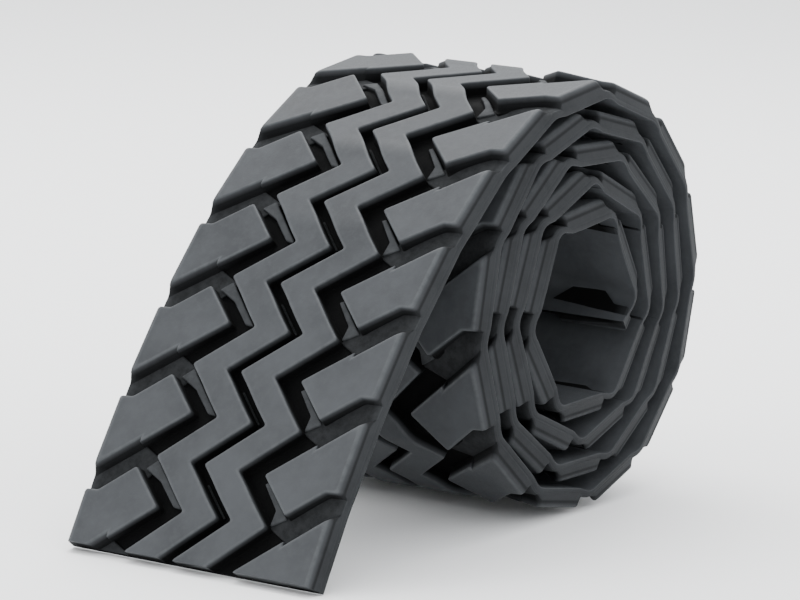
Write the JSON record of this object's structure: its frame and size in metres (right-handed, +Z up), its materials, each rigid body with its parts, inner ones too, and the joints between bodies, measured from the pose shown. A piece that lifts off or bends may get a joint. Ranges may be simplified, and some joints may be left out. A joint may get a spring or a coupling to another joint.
{
  "type": "rolled rubber traction strip",
  "caption": "Long moulded rubber tread strip wound into a loose coil, with zigzag ribs and shoulder lugs on its outer face and its free end reaching down to the floor.",
  "frame": {"origin": "on the floor, under the middle of the whole object's box", "axes": "+Z up, the coil's axis along Y, the free end towards -X and the coil towards +X"},
  "size_m": [0.4966, 0.212, 0.3156],
  "materials": {
    "rubber": "dark charcoal moulded rubber, satin, finely grained, with slightly glossier lug tops"
  },
  "bodies": {
    "free_end_link": {"free_end_link": "rubber"},
    "tread_link_02": {"tread_link_02": "rubber"},
    "tread_link_03": {"tread_link_03": "rubber"},
    "tread_link_04": {"tread_link_04": "rubber"},
    "tread_link_05": {"tread_link_05": "rubber"},
    "tread_link_06": {"tread_link_06": "rubber"},
    "tread_link_07": {"tread_link_07": "rubber"},
    "tread_link_08": {"tread_link_08": "rubber"},
    "tread_link_09": {"tread_link_09": "rubber"},
    "tread_link_10": {"tread_link_10": "rubber"},
    "tread_link_11": {"tread_link_11": "rubber"},
    "tread_link_12": {"tread_link_12": "rubber"},
    "tread_link_13": {"tread_link_13": "rubber"},
    "tread_link_14": {"tread_link_14": "rubber"},
    "tread_link_15": {"tread_link_15": "rubber"},
    "tread_link_16": {"tread_link_16": "rubber"},
    "tread_link_17": {"tread_link_17": "rubber"},
    "tread_link_18": {"tread_link_18": "rubber"},
    "tread_link_19": {"tread_link_19": "rubber"},
    "tread_link_20": {"tread_link_20": "rubber"},
    "tread_link_21": {"tread_link_21": "rubber"},
    "tread_link_22": {"tread_link_22": "rubber"},
    "tread_link_23": {"tread_link_23": "rubber"},
    "tread_link_24": {"tread_link_24": "rubber"},
    "tread_link_25": {"tread_link_25": "rubber"},
    "tread_link_26": {"tread_link_26": "rubber"},
    "tread_link_27": {"tread_link_27": "rubber"},
    "tread_link_28": {"tread_link_28": "rubber"},
    "tread_link_29": {"tread_link_29": "rubber"},
    "tread_link_30": {"tread_link_30": "rubber"},
    "tread_link_31": {"tread_link_31": "rubber"},
    "tread_link_32": {"tread_link_32": "rubber"},
    "tread_link_33": {"tread_link_33": "rubber"},
    "tread_link_34": {"tread_link_34": "rubber"},
    "tread_link_35": {"tread_link_35": "rubber"},
    "tread_link_36": {"tread_link_36": "rubber"},
    "tread_link_37": {"tread_link_37": "rubber"},
    "tread_link_38": {"tread_link_38": "rubber"},
    "tread_link_39": {"tread_link_39": "rubber"},
    "tread_link_40": {"tread_link_40": "rubber"},
    "tread_link_41": {"tread_link_41": "rubber"},
    "tread_link_42": {"tread_link_42": "rubber"},
    "tread_link_43": {"tread_link_43": "rubber"},
    "tread_link_44": {"tread_link_44": "rubber"},
    "tread_link_45": {"tread_link_45": "rubber"},
    "tread_link_46": {"tread_link_46": "rubber"},
    "core_end_link": {"core_end_link": "rubber"}
  },
  "joints": [
    {"name": "hinge_01", "type": "hinge", "parent": "tread_link_02", "child": "free_end_link", "pos_m": [-0.20952, 0, 0.04578], "axis": [0, 1, 0], "range_deg": [0, 3.71]},
    {"name": "hinge_02", "type": "hinge", "parent": "tread_link_03", "child": "tread_link_02", "pos_m": [-0.17139, 0, 0.10449], "axis": [0, 1, 0], "range_deg": [0, 4.17]},
    {"name": "hinge_03", "type": "hinge", "parent": "tread_link_04", "child": "tread_link_03", "pos_m": [-0.12909, 0, 0.16026], "axis": [0, 1, 0], "range_deg": [0, 5.14]},
    {"name": "hinge_04", "type": "hinge", "parent": "tread_link_05", "child": "tread_link_04", "pos_m": [-0.08198, 0, 0.21203], "axis": [0, 1, 0], "range_deg": [0, 7.22]},
    {"name": "hinge_05", "type": "hinge", "parent": "tread_link_06", "child": "tread_link_05", "pos_m": [-0.02873, 0, 0.25747], "axis": [0, 1, 0], "range_deg": [0, 11.63]},
    {"name": "hinge_06", "type": "hinge", "parent": "tread_link_07", "child": "tread_link_06", "pos_m": [0.03259, 0, 0.29124], "axis": [0, 1, 0], "range_deg": [0, 21.02]},
    {"name": "hinge_07", "type": "hinge", "parent": "tread_link_08", "child": "tread_link_07", "pos_m": [0.10193, 0, 0.30078], "axis": [0, 1, 0], "range_deg": [0, 27.3]},
    {"name": "hinge_08", "type": "hinge", "parent": "tread_link_09", "child": "tread_link_08", "pos_m": [0.16793, 0, 0.27744], "axis": [0, 1, 0], "range_deg": [0, 27.6]},
    {"name": "hinge_09", "type": "hinge", "parent": "tread_link_10", "child": "tread_link_09", "pos_m": [0.2156, 0, 0.22618], "axis": [0, 1, 0], "range_deg": [0, 27.91]},
    {"name": "hinge_10", "type": "hinge", "parent": "tread_link_11", "child": "tread_link_10", "pos_m": [0.23374, 0, 0.15857], "axis": [0, 1, 0], "range_deg": [0, 28.23]},
    {"name": "hinge_11", "type": "hinge", "parent": "tread_link_12", "child": "tread_link_11", "pos_m": [0.21773, 0, 0.09043], "axis": [0, 1, 0], "range_deg": [0, 28.56]},
    {"name": "hinge_12", "type": "hinge", "parent": "tread_link_13", "child": "tread_link_12", "pos_m": [0.17109, 0, 0.03823], "axis": [0, 1, 0], "range_deg": [0, 28.91]},
    {"name": "hinge_13", "type": "hinge", "parent": "tread_link_14", "child": "tread_link_13", "pos_m": [0.10503, 0, 0.01507], "axis": [0, 1, 0], "range_deg": [0, 29.26]},
    {"name": "hinge_14", "type": "hinge", "parent": "tread_link_15", "child": "tread_link_14", "pos_m": [0.03609, 0, 0.02716], "axis": [0, 1, 0], "range_deg": [0, 29.63]},
    {"name": "hinge_15", "type": "hinge", "parent": "tread_link_16", "child": "tread_link_15", "pos_m": [-0.01787, 0, 0.07176], "axis": [0, 1, 0], "range_deg": [0, 30.02]},
    {"name": "hinge_16", "type": "hinge", "parent": "tread_link_17", "child": "tread_link_16", "pos_m": [-0.04227, 0, 0.13737], "axis": [0, 1, 0], "range_deg": [0, 30.42]},
    {"name": "hinge_17", "type": "hinge", "parent": "tread_link_18", "child": "tread_link_17", "pos_m": [-0.03011, 0, 0.2063], "axis": [0, 1, 0], "range_deg": [0, 30.83]},
    {"name": "hinge_18", "type": "hinge", "parent": "tread_link_19", "child": "tread_link_18", "pos_m": [0.01567, 0, 0.25926], "axis": [0, 1, 0], "range_deg": [0, 31.27]},
    {"name": "hinge_19", "type": "hinge", "parent": "tread_link_20", "child": "tread_link_19", "pos_m": [0.08228, 0, 0.28077], "axis": [0, 1, 0], "range_deg": [0, 31.72]},
    {"name": "hinge_20", "type": "hinge", "parent": "tread_link_21", "child": "tread_link_20", "pos_m": [0.15025, 0, 0.26405], "axis": [0, 1, 0], "range_deg": [0, 32.19]},
    {"name": "hinge_21", "type": "hinge", "parent": "tread_link_22", "child": "tread_link_21", "pos_m": [0.19887, 0, 0.21369], "axis": [0, 1, 0], "range_deg": [0, 32.69]},
    {"name": "hinge_22", "type": "hinge", "parent": "tread_link_23", "child": "tread_link_22", "pos_m": [0.21259, 0, 0.14504], "axis": [0, 1, 0], "range_deg": [0, 33.2]},
    {"name": "hinge_23", "type": "hinge", "parent": "tread_link_24", "child": "tread_link_23", "pos_m": [0.18648, 0, 0.08009], "axis": [0, 1, 0], "range_deg": [0, 33.75]},
    {"name": "hinge_24", "type": "hinge", "parent": "tread_link_25", "child": "tread_link_24", "pos_m": [0.12869, 0, 0.04059], "axis": [0, 1, 0], "range_deg": [0, 34.32]},
    {"name": "hinge_25", "type": "hinge", "parent": "tread_link_25", "child": "tread_link_26", "pos_m": [0.05869, 0, 0.04055], "axis": [0, -1, 0], "range_deg": [0, 34.92]},
    {"name": "hinge_26", "type": "hinge", "parent": "tread_link_26", "child": "tread_link_27", "pos_m": [0.00127, 0, 0.08059], "axis": [0, -1, 0], "range_deg": [0, 35.56]},
    {"name": "hinge_27", "type": "hinge", "parent": "tread_link_27", "child": "tread_link_28", "pos_m": [-0.02216, 0, 0.14655], "axis": [0, -1, 0], "range_deg": [0, 36.23]},
    {"name": "hinge_28", "type": "hinge", "parent": "tread_link_28", "child": "tread_link_29", "pos_m": [-0.00209, 0, 0.2136], "axis": [0, -1, 0], "range_deg": [0, 36.94]},
    {"name": "hinge_29", "type": "hinge", "parent": "tread_link_29", "child": "tread_link_30", "pos_m": [0.05426, 0, 0.25514], "axis": [0, -1, 0], "range_deg": [0, 37.69]},
    {"name": "hinge_30", "type": "hinge", "parent": "tread_link_30", "child": "tread_link_31", "pos_m": [0.12424, 0, 0.25356], "axis": [0, -1, 0], "range_deg": [0, 38.5]},
    {"name": "hinge_31", "type": "hinge", "parent": "tread_link_31", "child": "tread_link_32", "pos_m": [0.17803, 0, 0.20876], "axis": [0, -1, 0], "range_deg": [0, 39.35]},
    {"name": "hinge_32", "type": "hinge", "parent": "tread_link_32", "child": "tread_link_33", "pos_m": [0.19121, 0, 0.14001], "axis": [0, -1, 0], "range_deg": [0, 40.27]},
    {"name": "hinge_33", "type": "hinge", "parent": "tread_link_33", "child": "tread_link_34", "pos_m": [0.15684, 0, 0.07903], "axis": [0, -1, 0], "range_deg": [0, 41.26]},
    {"name": "hinge_34", "type": "hinge", "parent": "tread_link_34", "child": "tread_link_35", "pos_m": [0.09078, 0, 0.05586], "axis": [0, -1, 0], "range_deg": [0, 42.32]},
    {"name": "hinge_35", "type": "hinge", "parent": "tread_link_35", "child": "tread_link_36", "pos_m": [0.02634, 0, 0.0832], "axis": [0, -1, 0], "range_deg": [0, 43.47]},
    {"name": "hinge_36", "type": "hinge", "parent": "tread_link_36", "child": "tread_link_37", "pos_m": [-0.00162, 0, 0.14737], "axis": [0, -1, 0], "range_deg": [0, 44.72]},
    {"name": "hinge_37", "type": "hinge", "parent": "tread_link_37", "child": "tread_link_38", "pos_m": [0.02366, 0, 0.21265], "axis": [0, -1, 0], "range_deg": [0, 46.08]},
    {"name": "hinge_38", "type": "hinge", "parent": "tread_link_38", "child": "tread_link_39", "pos_m": [0.08821, 0, 0.23971], "axis": [0, -1, 0], "range_deg": [0, 47.58]},
    {"name": "hinge_39", "type": "hinge", "parent": "tread_link_39", "child": "tread_link_40", "pos_m": [0.15174, 0, 0.21031], "axis": [0, -1, 0], "range_deg": [0, 49.24]},
    {"name": "hinge_40", "type": "hinge", "parent": "tread_link_40", "child": "tread_link_41", "pos_m": [0.17094, 0, 0.143], "axis": [0, -1, 0], "range_deg": [0, 51.09]},
    {"name": "hinge_41", "type": "hinge", "parent": "tread_link_41", "child": "tread_link_42", "pos_m": [0.13063, 0, 0.08577], "axis": [0, -1, 0], "range_deg": [0, 53.16]},
    {"name": "hinge_42", "type": "hinge", "parent": "tread_link_42", "child": "tread_link_43", "pos_m": [0.06066, 0, 0.08373], "axis": [0, -1, 0], "range_deg": [0, 55.52]},
    {"name": "hinge_43", "type": "hinge", "parent": "tread_link_43", "child": "tread_link_44", "pos_m": [0.01937, 0, 0.14025], "axis": [0, -1, 0], "range_deg": [0, 58.23]},
    {"name": "hinge_44", "type": "hinge", "parent": "tread_link_44", "child": "tread_link_45", "pos_m": [0.04567, 0, 0.20512], "axis": [0, -1, 0], "range_deg": [0, 61.38]},
    {"name": "hinge_45", "type": "hinge", "parent": "tread_link_45", "child": "tread_link_46", "pos_m": [0.11522, 0, 0.2131], "axis": [0, -1, 0], "range_deg": [0, 65.13]},
    {"name": "hinge_46", "type": "hinge", "parent": "tread_link_46", "child": "core_end_link", "pos_m": [0.1517, 0, 0.15335], "axis": [0, -1, 0], "range_deg": [0, 69.68]}
  ],
  "couplings": [
    {"joint": "hinge_01", "follows": "hinge_24", "ratio": 0.108},
    {"joint": "hinge_02", "follows": "hinge_24", "ratio": 0.12135},
    {"joint": "hinge_03", "follows": "hinge_24", "ratio": 0.14976},
    {"joint": "hinge_04", "follows": "hinge_24", "ratio": 0.21021},
    {"joint": "hinge_05", "follows": "hinge_24", "ratio": 0.33882},
    {"joint": "hinge_06", "follows": "hinge_24", "ratio": 0.61247},
    {"joint": "hinge_07", "follows": "hinge_24", "ratio": 0.79555},
    {"joint": "hinge_08", "follows": "hinge_24", "ratio": 0.80427},
    {"joint": "hinge_09", "follows": "hinge_24", "ratio": 0.81329},
    {"joint": "hinge_10", "follows": "hinge_24", "ratio": 0.82261},
    {"joint": "hinge_11", "follows": "hinge_24", "ratio": 0.83227},
    {"joint": "hinge_12", "follows": "hinge_24", "ratio": 0.84228},
    {"joint": "hinge_13", "follows": "hinge_24", "ratio": 0.85266},
    {"joint": "hinge_14", "follows": "hinge_24", "ratio": 0.86343},
    {"joint": "hinge_15", "follows": "hinge_24", "ratio": 0.87462},
    {"joint": "hinge_16", "follows": "hinge_24", "ratio": 0.88626},
    {"joint": "hinge_17", "follows": "hinge_24", "ratio": 0.89838},
    {"joint": "hinge_18", "follows": "hinge_24", "ratio": 0.91101},
    {"joint": "hinge_19", "follows": "hinge_24", "ratio": 0.9242},
    {"joint": "hinge_20", "follows": "hinge_24", "ratio": 0.93797},
    {"joint": "hinge_21", "follows": "hinge_24", "ratio": 0.95239},
    {"joint": "hinge_22", "follows": "hinge_24", "ratio": 0.96749},
    {"joint": "hinge_23", "follows": "hinge_24", "ratio": 0.98334},
    {"joint": "hinge_25", "follows": "hinge_24", "ratio": 1.0175},
    {"joint": "hinge_26", "follows": "hinge_24", "ratio": 1.036},
    {"joint": "hinge_27", "follows": "hinge_24", "ratio": 1.0556},
    {"joint": "hinge_28", "follows": "hinge_24", "ratio": 1.0763},
    {"joint": "hinge_29", "follows": "hinge_24", "ratio": 1.0983},
    {"joint": "hinge_30", "follows": "hinge_24", "ratio": 1.1217},
    {"joint": "hinge_31", "follows": "hinge_24", "ratio": 1.1467},
    {"joint": "hinge_32", "follows": "hinge_24", "ratio": 1.1734},
    {"joint": "hinge_33", "follows": "hinge_24", "ratio": 1.2021},
    {"joint": "hinge_34", "follows": "hinge_24", "ratio": 1.2331},
    {"joint": "hinge_35", "follows": "hinge_24", "ratio": 1.2666},
    {"joint": "hinge_36", "follows": "hinge_24", "ratio": 1.303},
    {"joint": "hinge_37", "follows": "hinge_24", "ratio": 1.3428},
    {"joint": "hinge_38", "follows": "hinge_24", "ratio": 1.3865},
    {"joint": "hinge_39", "follows": "hinge_24", "ratio": 1.4348},
    {"joint": "hinge_40", "follows": "hinge_24", "ratio": 1.4887},
    {"joint": "hinge_41", "follows": "hinge_24", "ratio": 1.5491},
    {"joint": "hinge_42", "follows": "hinge_24", "ratio": 1.6178},
    {"joint": "hinge_43", "follows": "hinge_24", "ratio": 1.6967},
    {"joint": "hinge_44", "follows": "hinge_24", "ratio": 1.7886},
    {"joint": "hinge_45", "follows": "hinge_24", "ratio": 1.8978},
    {"joint": "hinge_46", "follows": "hinge_24", "ratio": 2.0305}
  ]
}
